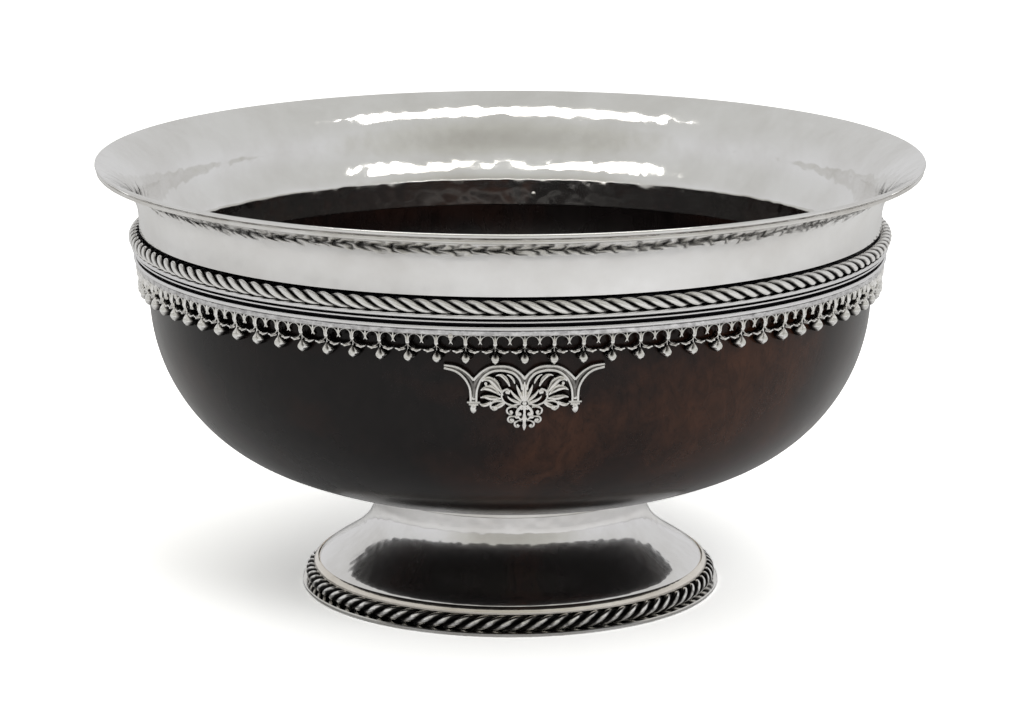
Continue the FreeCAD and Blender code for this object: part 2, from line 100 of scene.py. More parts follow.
def run_tree(name, start, tree, sizes):
    """Runs a tree on a start mesh and keeps what it makes as a plain mesh with faces outwards."""
    piece = bpy.data.objects.new(name, start)
    bpy.context.collection.objects.link(piece)
    making = piece.modifiers.new(tree.name, "NODES")
    making.node_group = tree
    for item in tree.interface.items_tree:
        if item.in_out == "INPUT" and item.name in sizes:
            making[item.identifier] = sizes[item.name]
    graph = bpy.context.evaluated_depsgraph_get()
    plain = bpy.data.meshes.new_from_object(piece.evaluated_get(graph))
    piece.modifiers.clear()
    piece.data = plain
    face_outwards(plain)
    return piece


def face_outwards(mesh):
    made = bmesh.new()
    made.from_mesh(mesh)
    bmesh.ops.recalc_face_normals(made, faces=made.faces)
    made.to_mesh(mesh)
    made.free()


def turning_tree():
    """Carries a half section, the start mesh's points in order, once round the upright axis."""
    tree, given, out = start_tree("turned_on_the_axis", [
        ("Half section", "NodeSocketGeometry"),
        ("Steps round", "NodeSocketInt"),
        ("Dent depth", "NodeSocketFloat"),
        ("Dent size", "NodeSocketFloat"),
        ("Crisp above", "NodeSocketFloat"),
        ("Finish", "NodeSocketMaterial"),
    ])
    section = given.outputs["Half section"]
    count = put(tree, "GeometryNodeAttributeDomainSize", {0: section}).outputs["Point Count"]
    steps = given.outputs["Steps round"]
    rows = put(tree, "ShaderNodeMath", {0: steps, 1: 1.0}, operation="ADD").outputs[0]
    grid = put(tree, "GeometryNodeMeshGrid", {"Vertices X": rows, "Vertices Y": count})
    index = put(tree, "GeometryNodeInputIndex").outputs[0]
    past = put(tree, "ShaderNodeMath", {0: index, 1: 0.5}, operation="ADD").outputs[0]
    share = put(tree, "ShaderNodeMath", {0: past, 1: count}, operation="DIVIDE").outputs[0]
    row = put(tree, "ShaderNodeMath", {0: share}, operation="FLOOR").outputs[0]
    place = put(tree, "ShaderNodeMath", {0: index, 1: count}, operation="MODULO").outputs[0]
    spot = put(tree, "GeometryNodeInputPosition").outputs[0]
    taken = put(tree, "GeometryNodeSampleIndex", {0: section, "Value": spot, "Index": place},
                data_type="FLOAT_VECTOR", domain="POINT")
    part = put(tree, "ShaderNodeMath", {0: row, 1: steps}, operation="DIVIDE").outputs[0]
    angle = put(tree, "ShaderNodeMath", {0: part, 1: math.tau}, operation="MULTIPLY").outputs[0]
    turned = put(tree, "ShaderNodeVectorRotate", {"Vector": taken.outputs[0], "Angle": angle},
                 rotation_type="Z_AXIS")
    swept = put(tree, "GeometryNodeSetPosition", {0: grid.outputs["Mesh"], "Position": turned.outputs[0]})
    closed = put(tree, "GeometryNodeMergeByDistance", {0: swept.outputs[0], "Distance": 1e-6})
    fine = put(tree, "ShaderNodeMath", {0: 1.0, 1: given.outputs["Dent size"]}, operation="DIVIDE").outputs[0]
    noise = put(tree, "ShaderNodeTexNoise", {"Scale": fine, "Detail": 1.0, "Roughness": 0.4})
    depth = put(tree, "ShaderNodeMath", {0: noise.outputs[0], 1: given.outputs["Dent depth"]},
                operation="MULTIPLY").outputs[0]
    normal = put(tree, "GeometryNodeInputNormal").outputs[0]
    flat = put(tree, "ShaderNodeVectorMath", {0: normal, 1: (-1, -1, 0)}, operation="MULTIPLY").outputs[0]
    push = put(tree, "ShaderNodeVectorMath", {0: flat, "Scale": depth}, operation="SCALE").outputs[0]
    dented = put(tree, "GeometryNodeSetPosition", {0: closed.outputs[0], "Offset": push})
    end_tree(tree, given, out, dented.outputs[0])
    return tree


turning = turning_tree()


def turn(name, section, finish, steps=240, dent=0.0, dent_size=18.0, crisp=32):
    """Turns a half section, a list of radius and height, into a ring or a bowl."""
    start = bpy.data.meshes.new(name)
    start.from_pydata([(across / 1000, 0, up / 1000) for across, up in section], [], [])
    return run_tree(name, start, turning, {
        "Steps round": steps,
        "Dent depth": dent / 1000,
        "Dent size": dent_size / 1000,
        "Crisp above": math.radians(crisp),
        "Finish": finish,
    })


def start_finish(name):
    """A new material. Gives its tree, its shader and the place on the piece, in metres."""
    material = bpy.data.materials.new(name)
    material.use_nodes = True
    tree = material.node_tree
    shader = tree.nodes["Principled BSDF"]
    place = put(tree, "ShaderNodeTexCoord").outputs["Object"]
    return material, tree, shader, place


def spotted(tree, place, size, detail=3.0, rough=0.55, shift=(0, 0, 0), stretch=(1, 1, 1), twist=0.0):
    """Cloudy noise whose spots are about so many millimetres across."""
    moved = put(tree, "ShaderNodeMapping", {"Vector": place, "Location": shift, "Scale": stretch})
    return put(tree, "ShaderNodeTexNoise", {
        "Vector": moved.outputs[0],
        "Scale": 1000 / size,
        "Detail": detail,
        "Roughness": rough,
        "Distortion": twist,
    }).outputs[0]


def ramp(tree, amount, stops):
    """Colours or greys along an amount from 0 to 1."""
    made = put(tree, "ShaderNodeValToRGB", {0: amount})
    band = made.color_ramp
    while len(band.elements) < len(stops):
        band.elements.new(0.5)
    for element, (at, colour) in zip(band.elements, stops):
        element.position = at
        element.color = (*colour, 1) if isinstance(colour, tuple) else (colour, colour, colour, 1)
    return made.outputs[0]


def burr_maple():
    material, tree, shader, place = start_finish("dark_waxed_maple")
    clouds = spotted(tree, place, 62, detail=4, rough=0.62, shift=(0.113, 0.02, 0.05), twist=0.6)
    heart = put(tree, "ShaderNodeVectorMath", {0: place, 1: (0.062, -0.105, 0.085)}, operation="DISTANCE")
    redder = put(tree, "ShaderNodeMapRange",
                 {0: heart.outputs["Value"], 1: 0.02, 2: 0.10, 3: 0.20, 4: -0.04})
    clouds = put(tree, "ShaderNodeMath", {0: clouds, 1: redder.outputs[0]}, operation="ADD").outputs[0]
    figure = spotted(tree, place, 7, detail=5, rough=0.7, stretch=(1, 1, 0.55), twist=1.4)
    pores = spotted(tree, place, 0.9, detail=2, stretch=(1, 1, 0.25))
    warm = ramp(tree, clouds, [(0.45, (0.0085, 0.0062, 0.0062)), (0.62, (0.021, 0.0092, 0.0068)),
                               (0.84, (0.070, 0.026, 0.013))])
    dark = ramp(tree, figure, [(0.30, 0.45), (0.62, 1.0)])
    fleck = ramp(tree, pores, [(0.30, 0.7), (0.42, 1.0)])
    shade = put(tree, "ShaderNodeMix", {0: 1.0, 6: warm, 7: dark}, data_type="RGBA", blend_type="MULTIPLY")
    colour = put(tree, "ShaderNodeMix", {0: 1.0, 6: shade.outputs[2], 7: fleck},
                 data_type="RGBA", blend_type="MULTIPLY")
    tree.links.new(colour.outputs[2], shader.inputs["Base Color"])
    wear = spotted(tree, place, 30, shift=(0.2, 0.1, 0))
    tree.links.new(ramp(tree, wear, [(0.3, 0.20), (0.7, 0.30)]), shader.inputs["Roughness"])
    shader.inputs["Specular IOR Level"].default_value = 0.20
    shader.inputs["Coat Weight"].default_value = 0.08
    shader.inputs["Coat Roughness"].default_value = 0.12
    grain = put(tree, "ShaderNodeBump", {"Strength": 0.25, "Distance": 0.00012, "Height": figure})
    tree.links.new(grain.outputs[0], shader.inputs["Normal"])
    return material


bowl_radius = 126.95
bowl_bottom = 38.1
hollow_radius = 121.2
hollow_bottom = 48.0
stud_hole_radius = 3.1
print_seat = (28.1, 47.0)
sleeve_seat = (122.4, 112.9)
rim_inside = (122.4, 123.85)
rim_outside = (126.95, 127.45)
maple = burr_maple()
bowl_outside = turned_curve(bowl_radius, bowl_bottom, [112.0, 63.2, 118.0], [7.1, 65.4])
bowl_inside = turned_curve(hollow_radius, hollow_bottom, [54.2, 141.0], [66.2])
bowl_section = bowl_outside + [(stud_hole_radius, bowl_bottom), (stud_hole_radius, print_seat[1])]
bowl_section += [print_seat, (print_seat[0], hollow_bottom)] + bowl_inside[::-1]
bowl_section += [(hollow_radius, sleeve_seat[1]), sleeve_seat, rim_inside, rim_outside, bowl_outside[0]]
bowl = turn("turned_bowl", bowl_section, maple, steps=288)
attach(bowl, "root")
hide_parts("maple_bowl")

# The lip. One sheet of silver raised over a stake: flaring rim, nearly upright collar, and the
# sleeve that lines the top of the bowl. It is planished all over, so it is covered in small
# soft facets, and is nowhere quite true.
collar_radius = 130.0
collar_bottom = 130.006
flare_reach = 15.0
flare_height = 22.2
flare_power = 3.2
edge_share = 0.99
throat_share = 0.3
throat_pull = 8.0
lip_sheet = 1.3
sleeve_inside = 121.0
sleeve_outside = 122.3
sleeve_bottom = 113.0
sleeve_corner = 0.3
bend_height = 124.0


def flare_slope(share):
    """How far the flare leans out there, from 0 at the collar to 1 at the lip."""
    return math.atan(flare_reach * flare_power / flare_height * share ** (flare_power - 1))


def flare(share, inwards):
    """Radius and height at a share of the flare, so far in from its outside."""
    slope = flare_slope(share)
    across = collar_radius + flare_reach * share ** flare_power - inwards * math.cos(slope)
    return across, collar_bottom + flare_height * share + inwards * math.sin(slope)


def sweep(start, first_pull, last_pull, end, steps):
    """Points of a curve that leaves its start and reaches its end along the two pulls."""
    points = []
    for step in range(steps + 1):
        t = step / steps
        shares = ((1 - t) ** 3, 3 * t * (1 - t) ** 2, 3 * t * t * (1 - t), t ** 3)
        points.append(tuple(sum(share * place for share, place in zip(shares, places))
                            for places in zip(start, first_pull, last_pull, end)))
    return points


def silver(name, colour, roughness, facet=0.0, facet_depth=0.0, wave_depth=0.0, tarnish=0.25):
    """Silver, planished with facets so many millimetres wide where facet isn't 0."""
    material, tree, shader, place = start_finish(name)
    shader.inputs["Metallic"].default_value = 1.0
    grime = spotted(tree, place, 26, detail=5, rough=0.6)
    dull = tuple(c * k for c, k in zip(colour, (1 - tarnish, 1 - tarnish * 1.08, 1 - tarnish * 1.2)))
    tree.links.new(ramp(tree, grime, [(0.34, dull), (0.62, colour)]), shader.inputs["Base Color"])
    film = spotted(tree, place, 9, detail=4, shift=(0.03, 0.2, 0.1))
    tree.links.new(ramp(tree, film, [(0.3, roughness * 0.75), (0.72, roughness * 1.3)]),
                   shader.inputs["Roughness"])
    rubbed = spotted(tree, place, 0.5, detail=2)
    normal = put(tree, "ShaderNodeBump", {"Strength": 0.12, "Distance": 0.00002, "Height": rubbed})
    if facet:
        blows = put(tree, "ShaderNodeTexVoronoi",
                    {"Vector": place, "Scale": 1000 / facet, "Smoothness": 0.45}, feature="SMOOTH_F1")
        normal = put(tree, "ShaderNodeBump", {"Strength": 1.0, "Distance": facet_depth / 1000,
                                              "Height": blows.outputs[0], "Normal": normal.outputs[0]})
        wave = spotted(tree, place, facet * 3.4, detail=2)
        normal = put(tree, "ShaderNodeBump", {"Strength": 1.0, "Distance": wave_depth / 1000,
                                              "Height": wave, "Normal": normal.outputs[0]})
    tree.links.new(normal.outputs[0], shader.inputs["Normal"])
    return material


planished = silver("planished_silver", (0.93, 0.925, 0.92), 0.10,
                   facet=5.0, facet_depth=0.15, wave_depth=0.5, tarnish=0.10)
lip_outside = [flare(step / 24, 0) for step in range(24)] + [flare(edge_share, 0)]
lip_inside = [flare(edge_share, lip_sheet)] + [flare(step / 30, lip_sheet) for step in range(29, 8, -1)]
edge_middle = tuple((a + b) / 2 for a, b in zip(lip_outside[-1], lip_inside[0]))
edge = []
for step in range(1, 8):
    turn_by = math.pi * step / 8
    half = Vector(lip_outside[-1]) - Vector(edge_middle)
    rounded = half * math.cos(turn_by) + half.orthogonal() * math.sin(turn_by)
    edge.append(tuple(Vector(edge_middle) + rounded))
throat_top = lip_inside[-1]
throat_slope = flare_slope(throat_share)
first_pull = (throat_top[0] - throat_pull * math.sin(throat_slope),
              throat_top[1] - throat_pull * math.cos(throat_slope))
throat = sweep(throat_top, first_pull, (sleeve_inside, 126.5), (sleeve_inside, 122.5), steps=14)[1:]
lip_section = lip_outside + edge + lip_inside + throat + [
    (sleeve_inside, 118.0),
    (sleeve_inside, sleeve_bottom + sleeve_corner),
    (sleeve_inside + sleeve_corner, sleeve_bottom),
    (sleeve_outside - sleeve_corner, sleeve_bottom),
    (sleeve_outside, sleeve_bottom + sleeve_corner),
    (sleeve_outside, bend_height),
    lip_outside[0],
]
lip = turn("lip_and_collar", lip_section, planished, steps=360, dent=0.25, dent_size=22)
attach(lip, "root")
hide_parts("lip_mount")

# The wire under the lip. A thin drawn wire, bent to a ring and soldered under the edge of the
# flare to stiffen it.


def round_section(middle_radius, height, diameter, points=14):
    """Half section of a round wire bent into a ring."""
    section = []
    for step in range(points + 1):
        angle = math.tau * step / points
        section.append((middle_radius + diameter / 2 * math.cos(angle),
                        height + diameter / 2 * math.sin(angle)))
    return section


polished = silver("polished_silver", (0.92, 0.91, 0.89), 0.14, tarnish=0.22)
lip_wire = turn("wire_under_the_lip", round_section(143.52, 150.60, 1.4), polished, steps=300)
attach(lip_wire, "root")
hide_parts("lip_wire")

# The girdle's strip and mouldings. A flat strip covers the rim of the wood, and on it are
# soldered a half round bead, a fine ridge and a flat bead.


def strip_section(inside, outside, low, high, soften):
    """Half section of a flat strip with slightly rounded outer edges."""
    return [(inside, low), (outside - soften, low), (outside, low + soften), (outside, high - soften),
            (outside - soften, high), (inside, high), (inside, low)]


def bead_section(inside, outside, low, high, points=8):
    """Half section of a strip whose outer edge is a half round."""
    reach = (high - low) / 2
    section = [(inside, low)]
    for step in range(points + 1):
        angle = math.pi * (step / points - 0.5)
        section.append((outside - reach + reach * math.cos(angle),
                        (low + high) / 2 + reach * math.sin(angle)))
    return section + [(inside, high), (inside, low)]


def dark_between(name, black_at, bright_at, roughness=0.16):
    """Silver that is black at one distance off the axis, in millimetres, and bright at another."""
    material, tree, shader, place = start_finish(name)
    shader.inputs["Metallic"].default_value = 1.0
    flat = put(tree, "ShaderNodeVectorMath", {0: place, 1: (1, 1, 0)}, operation="MULTIPLY").outputs[0]
    reach = put(tree, "ShaderNodeVectorMath", {0: flat}, operation="LENGTH").outputs["Value"]
    high = put(tree, "ShaderNodeMapRange", {0: reach, 1: black_at / 1000, 2: bright_at / 1000}).outputs[0]
    patchy = spotted(tree, place, 3, detail=4, rough=0.7, stretch=(1, 1, 1.6))
    moved = put(tree, "ShaderNodeMath", {0: patchy, 1: 0.5, 2: -0.25}, operation="MULTIPLY_ADD").outputs[0]
    amount = put(tree, "ShaderNodeMath", {0: high, 1: moved}, operation="ADD").outputs[0]
    tree.links.new(ramp(tree, amount, [(0.18, (0.022, 0.021, 0.026)), (0.55, (0.22, 0.21, 0.22)),
                                       (0.80, (0.90, 0.895, 0.90))]), shader.inputs["Base Color"])
    tree.links.new(ramp(tree, amount, [(0.2, 0.34), (0.8, roughness)]), shader.inputs["Roughness"])
    rubbed = spotted(tree, place, 0.9, detail=3)
    bump = put(tree, "ShaderNodeBump", {"Strength": 0.5, "Distance": 0.00008, "Height": rubbed})
    tree.links.new(bump.outputs[0], shader.inputs["Normal"])
    return material


strip_back = 127.05
strip_front = 128.85
strip_bottom = 118.206
bead_back = 128.9
moulded = dark_between("moulded_silver", 129.3, 131.9)
band_section = [(strip_back, strip_bottom), (strip_front, strip_bottom), (strip_front, 129.0),
                (strip_back, 127.6), (strip_back, strip_bottom)]
band = turn("girdle_strip", band_section, moulded, steps=300)
bead = turn("girdle_round_bead", bead_section(bead_back, 132.5, 123.156, 124.456), moulded, steps=300)
ridge = turn("girdle_fine_ridge", bead_section(bead_back, 131.6, 121.706, 122.306), moulded, steps=300)
low_bead = turn("girdle_flat_bead", bead_section(bead_back, 131.8, 119.256, 120.556), moulded, steps=300)
for piece, node in ((band, "girdle_band"), (bead, "girdle_bead"), (ridge, "girdle_ridge"),
                    (low_bead, "girdle_lower_bead")):
    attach(piece, "root")
    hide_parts(node)

# The girdle's rope. Three drawn wires twisted together and bent round the bowl, bright where
# hands and cloth reach them and black between.


def rope_tree():
    """Wires that wind round one another along a ring, and know how far they stand out."""
    tree, given, out = start_tree("twisted_round_a_ring", [
        ("Start", "NodeSocketGeometry"),
        ("Ring radius", "NodeSocketFloat"),
        ("Height", "NodeSocketFloat"),
        ("Rope diameter", "NodeSocketFloat"),
        ("Wires", "NodeSocketInt"),
        ("Twists", "NodeSocketFloat"),
        ("Points round", "NodeSocketInt"),
        ("Crisp above", "NodeSocketFloat"),
        ("Finish", "NodeSocketMaterial"),
    ])
    ring = put(tree, "GeometryNodeCurvePrimitiveCircle",
               {"Resolution": given.outputs["Points round"], "Radius": given.outputs["Ring radius"]})
    wires = put(tree, "GeometryNodeDuplicateElements",
                {0: ring.outputs[0], "Amount": given.outputs["Wires"]}, domain="SPLINE")
    share = put(tree, "ShaderNodeMath", {0: wires.outputs["Duplicate Index"], 1: given.outputs["Wires"]},
                operation="DIVIDE").outputs[0]
    along = put(tree, "GeometryNodeSplineParameter").outputs["Factor"]
    turns = put(tree, "ShaderNodeMath", {0: along, 1: given.outputs["Twists"], 2: share},
                operation="MULTIPLY_ADD").outputs[0]
    angle = put(tree, "ShaderNodeMath", {0: turns, 1: math.tau}, operation="MULTIPLY").outputs[0]
    wire_share = 1 / (1 + 2 / math.sqrt(3))
    offset = put(tree, "ShaderNodeMath", {0: given.outputs["Rope diameter"], 1: wire_share / math.sqrt(3)},
                 operation="MULTIPLY").outputs[0]
    cosine = put(tree, "ShaderNodeMath", {0: angle}, operation="COSINE").outputs[0]
    out_by = put(tree, "ShaderNodeMath", {0: cosine, 1: offset}, operation="MULTIPLY").outputs[0]
    sine = put(tree, "ShaderNodeMath", {0: angle}, operation="SINE").outputs[0]
    up_by = put(tree, "ShaderNodeMath", {0: sine, 1: offset}, operation="MULTIPLY").outputs[0]
    spot = put(tree, "GeometryNodeInputPosition").outputs[0]
    outwards = put(tree, "ShaderNodeVectorMath", {0: spot}, operation="NORMALIZE").outputs[0]
    swing = put(tree, "ShaderNodeVectorMath", {0: outwards, "Scale": out_by}, operation="SCALE").outputs[0]
    lift = put(tree, "ShaderNodeCombineXYZ", {"Z": up_by}).outputs[0]
    both = put(tree, "ShaderNodeVectorMath", {0: swing, 1: lift}, operation="ADD").outputs[0]
    wound = put(tree, "GeometryNodeSetPosition", {0: wires.outputs[0], "Offset": both})
    thick = put(tree, "ShaderNodeMath", {0: given.outputs["Rope diameter"], 1: wire_share / 2},
                operation="MULTIPLY").outputs[0]
    round_wire = put(tree, "GeometryNodeCurvePrimitiveCircle", {"Resolution": 12, "Radius": thick})
    mesh = put(tree, "GeometryNodeCurveToMesh",
               {0: wound.outputs[0], "Profile Curve": round_wire.outputs[0]})
    level = put(tree, "ShaderNodeVectorMath", {0: spot, 1: (1, 1, 0)}, operation="MULTIPLY").outputs[0]
    heading = put(tree, "ShaderNodeVectorMath", {0: level}, operation="NORMALIZE").outputs[0]
    middle = put(tree, "ShaderNodeVectorMath", {0: heading, "Scale": given.outputs["Ring radius"]},
                 operation="SCALE").outputs[0]
    away = put(tree, "ShaderNodeVectorMath", {0: spot, 1: middle}, operation="DISTANCE").outputs["Value"]
    reach = put(tree, "ShaderNodeMath", {0: given.outputs["Rope diameter"], 1: 0.5},
                operation="MULTIPLY").outputs[0]
    high = put(tree, "ShaderNodeMath", {0: away, 1: reach}, operation="DIVIDE").outputs[0]
    marked = put(tree, "GeometryNodeStoreNamedAttribute",
                 {0: mesh.outputs[0], "Name": "stands_out", "Value": high}, data_type="FLOAT", domain="POINT")
    raise_by = put(tree, "ShaderNodeCombineXYZ", {"Z": given.outputs["Height"]}).outputs[0]
    raised = put(tree, "GeometryNodeSetPosition", {0: marked.outputs[0], "Offset": raise_by})
    end_tree(tree, given, out, raised.outputs[0])
    return tree


roping = rope_tree()


def rope(name, ring_radius, height, diameter, twists, points_a_twist, finish):
    """A rope of three wires bent into a ring. It winds the other way where its twists are negative."""
    return run_tree(name, bpy.data.meshes.new(name), roping, {
        "Ring radius": ring_radius / 1000,
        "Height": height / 1000,
        "Rope diameter": diameter / 1000,
        "Wires": 3,
        "Twists": float(twists),
        "Points round": abs(twists) * points_a_twist,
        "Crisp above": math.pi,
        "Finish": finish,
    })


def worn_silver(name, black_until, bright_from, roughness=0.2):
    """Silver that is black where the piece's own stands_out is low, and bright where it is high."""
    material, tree, shader, place = start_finish(name)
    shader.inputs["Metallic"].default_value = 1.0
    high = put(tree, "ShaderNodeAttribute", attribute_name="stands_out").outputs["Fac"]
    patchy = spotted(tree, place, 2.2, detail=3)
    moved = put(tree, "ShaderNodeMath", {0: patchy, 1: 0.24, 2: -0.12}, operation="MULTIPLY_ADD").outputs[0]
    amount = put(tree, "ShaderNodeMath", {0: high, 1: moved}, operation="ADD").outputs[0]
    tree.links.new(ramp(tree, amount, [(black_until, (0.014, 0.013, 0.013)),
                                       ((black_until + bright_from) / 2, (0.26, 0.25, 0.24)),
                                       (bright_from, (0.95, 0.94, 0.92))]), shader.inputs["Base Color"])
    tree.links.new(ramp(tree, amount, [(black_until, 0.5), (bright_from, roughness)]),
                   shader.inputs["Roughness"])
    rubbed = spotted(tree, place, 0.8, detail=3)
    bump = put(tree, "ShaderNodeBump", {"Strength": 0.3, "Distance": 0.00006, "Height": rubbed})
    tree.links.new(bump.outputs[0], shader.inputs["Normal"])
    return material


rope_silver = worn_silver("rope_silver", 0.68, 0.90, roughness=0.15)
girdle_rope = rope("girdle_twist", 131.2, 126.906, 4.6, -49, 24, rope_silver)
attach(girdle_rope, "root")
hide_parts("girdle_rope")

# The cresting. A cast strip, pierced and finished with files: a plain rail, and under it 86 bays,
# each with two round arches, a forked cusp between bays, a ball, two leaves and a bud. The rail
# is turned here; one bay is modelled and set round the bowl.
bay_count = 86
cresting_back = 127.05
cresting_depth = 4.0


def through(points, steps=5):
    """A smooth run of points through the given ones, with whatever else each carries."""
    run = []
    for i in range(len(points) - 1):
        a, b, c, d = (Vector(points[max(0, min(len(points) - 1, i + k))]) for k in (-1, 0, 1, 2))
        for step in range(steps):
            t = step / steps
            run.append(0.5 * ((2 * b) + (c - a) * t + (2 * a - 5 * b + 4 * c - d) * t * t
                              + (3 * b - a - 3 * c + d) * t ** 3))
    run.append(Vector(points[-1]))
    return run


def relief(made, path, low, shoulder, back=0.0):
    """Adds a strip of metal in relief to a mesh. Each place on its path is across, up, half width,
    how far it stands out, and how deep its middle is creased. Low and shoulder are the shares of
    its height that it has at its edges and half way in."""
    ring_before = None
    for i, spot in enumerate(path):
        ahead = Vector(path[min(i + 1, len(path) - 1)][:2]) - Vector(path[max(i - 1, 0)][:2])
        side = Vector((-ahead.y, ahead.x)).normalized()
        across, up, wide, top, crease = spot
        shape = [(-1, 0), (-1, low), (-0.55, shoulder), (0, 1 - crease), (0.55, shoulder), (1, low),
                 (1, 0)]
        ring = []
        for share, height in shape:
            depth = back + (top - back) * height
            at = Vector((across, up)) + side * wide * share
            ring.append(made.verts.new((at.x, depth, at.y)))
        if ring_before:
            for k in range(len(ring)):
                n = (k + 1) % len(ring)
                made.faces.new((ring_before[k], ring_before[n], ring[n], ring[k]))
        else:
            made.faces.new(ring)
        ring_before = ring
    made.faces.new(ring_before[::-1])


def rib(made, points, wide, top, back=0.0, steps=5):
    """A plain rounded bar through the points."""
    relief(made, [(*p, wide, top, 0.0) for p in through(points, steps)], 0.62, 0.93, back)


def leaf(made, points, back=0.0, steps=3):
    """A leaf through points that each give across, up, half width, height and crease."""
    relief(made, through(points, steps), 0.60, 0.95, back)


def pearl(made, across, up, out, radius, rings=6):
    spot = Matrix.Translation((across, out, up))
    bmesh.ops.create_uvsphere(made, u_segments=2 * rings, v_segments=rings, radius=radius, matrix=spot)


def lay_on_wood(made, name, ground, full, finish):
    """Wraps a flat relief round the front of the bowl and marks how far each point stands out.
    ground gives the radius of what lies behind it at a height."""
    mesh = bpy.data.meshes.new(name)
    standing = []
    for vert in made.verts:
        across, out, up = vert.co
        radius = ground(up) + out
        standing.append(out / full)
        vert.co = Vector((across, -math.sqrt(radius ** 2 - across ** 2), up)) / 1000
    bmesh.ops.recalc_face_normals(made, faces=made.faces)
    made.to_mesh(mesh)
    made.free()
    mesh.attributes.new("stands_out", "FLOAT", "POINT").data.foreach_set("value", standing)
    mesh.materials.append(finish)
    return mesh


def mirrored(points):
    return [(-p[0], *p[1:]) for p in points]


def cresting_bay():
    made = bmesh.new()
    arch = [(0.42, 114.9), (0.50, 116.0), (1.05, 117.05), (2.35, 117.50), (3.65, 117.05), (4.35, 116.2),
            (4.62, 115.5)]
    for points in (arch, mirrored(arch)):
        rib(made, points, 0.30, 4.05, back=1.9, steps=3)
    cusp = 4.758
    rib(made, [(cusp, 117.5), (cusp, 116.6), (cusp, 115.5)], 0.34, 4.0, back=1.9, steps=2)
    for side in (-1, 1):
        leaf(made, [(cusp, 115.6, 0.28, 3.9, 0), (cusp + side * 0.25, 114.9, 0.30, 3.9, 0),
                    (cusp + side * 0.62, 114.45, 0.20, 3.6, 0)], back=2.0, steps=2)
    rib(made, [(0, 117.5), (0, 116.4), (0, 115.0)], 0.30, 3.7, back=1.9, steps=2)
    pearl(made, 0, 114.66, 3.2, 0.80)
    rib(made, [(0, 114.6), (0, 113.4), (0, 112.2)], 0.30, 2.9, back=0.6, steps=2)
    ogee = [(0.25, 114.1), (0.55, 113.4), (1.25, 112.85), (2.3, 112.65)]
    lobes = [(0.9, 112.25, 0.30, 2.7, 0.1), (1.6, 112.2, 0.62, 3.3, 0.3), (2.3, 111.95, 0.50, 3.0, 0.2),
             (2.9, 111.85, 0.72, 3.4, 0.3), (3.6, 111.95, 0.42, 2.9, 0.1), (4.2, 112.2, 0.36, 3.1, 0),
             (4.55, 112.5, 0.12, 2.7, 0)]
    for turned_over in (list, mirrored):
        rib(made, turned_over(ogee), 0.24, 3.5, back=0.8, steps=2)
        leaf(made, turned_over(lobes), back=0.5, steps=2)
    leaf(made, [(0, 112.6, 0.25, 2.6, 0.0), (0, 111.7, 0.62, 3.1, 0.45), (0, 110.9, 1.35, 3.5, 0.55),
                (0, 110.1, 2.10, 3.7, 0.50), (0, 109.4, 1.95, 3.8, 0.20), (0, 108.7, 1.20, 3.5, 0.0),
                (0, 108.15, 0.55, 3.0, 0.0), (0, 107.76, 0.16, 2.5, 0.0)], back=0.1, steps=2)
    return made


def setting_tree():
    """Sets a unit, modelled at the front, round the bowl: once for each point of the start mesh,
    turned about the upright axis by the angle that the point carries."""
    tree, given, out = start_tree("set_round_the_bowl", [
        ("Places", "NodeSocketGeometry"),
        ("Unit", "NodeSocketObject"),
        ("Crisp above", "NodeSocketFloat"),
        ("Finish", "NodeSocketMaterial"),
    ])
    unit = put(tree, "GeometryNodeObjectInfo", {"Object": given.outputs["Unit"]}).outputs["Geometry"]
    turn_by = put(tree, "GeometryNodeInputNamedAttribute", {"Name": "turn_by"}, data_type="FLOAT").outputs[0]
    turned = put(tree, "ShaderNodeCombineXYZ", {"Z": turn_by}).outputs[0]
    placed = put(tree, "GeometryNodeInstanceOnPoints",
                 {"Points": given.outputs["Places"], "Instance": unit, "Rotation": turned})
    whole = put(tree, "GeometryNodeRealizeInstances", {0: placed.outputs[0]})
    end_tree(tree, given, out, whole.outputs[0])
    return tree


setting = setting_tree()


def set_round(name, unit_mesh, bays, finish, crisp=50):
    """Sets a unit at the given bays, counted to the right of the pendant."""
    unit = bpy.data.objects.new(name + "_unit", unit_mesh)
    places = bpy.data.meshes.new(name)
    places.from_pydata([(0, 0, 0)] * len(bays), [], [])
    turns = places.attributes.new("turn_by", "FLOAT", "POINT")
    turns.data.foreach_set("value", [math.tau * bay / bay_count for bay in bays])
    piece = run_tree(name, places, setting,
                     {"Unit": unit, "Crisp above": math.radians(crisp), "Finish": finish})
    bpy.data.objects.remove(unit)
    return piece


cast = worn_silver("cast_silver", 0.34, 0.70, roughness=0.16)
rail_section = [(cresting_back, 117.456), (130.9, 117.456), (131.15, 117.7), (131.15, 118.9),
                (130.95, 119.106), (128.95, 119.106), (128.95, 118.156), (cresting_back, 118.156),
                (cresting_back, 117.456)]
rail = turn("cresting_rail", rail_section, moulded, steps=300)
bay_mesh = lay_on_wood(cresting_bay(), "cresting_bay", lambda up: cresting_back, cresting_depth, cast)
bays = set_round("cresting_bays", bay_mesh, range(bay_count), cast)
for piece in (rail, bays):
    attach(piece, "root")
    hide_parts("cresting")

# The rivets. Six silver pins through the rail, the wood and the sleeve, spread into low domed
# heads at both ends.
rivet_height = 117.206
rivet_bays = [-14.5, -2.5, 12.5, 26.5, 41.5, 56.5]
head_faces = {131.15: 0.95, sleeve_inside: 0.85}
head_flatness = 0.62


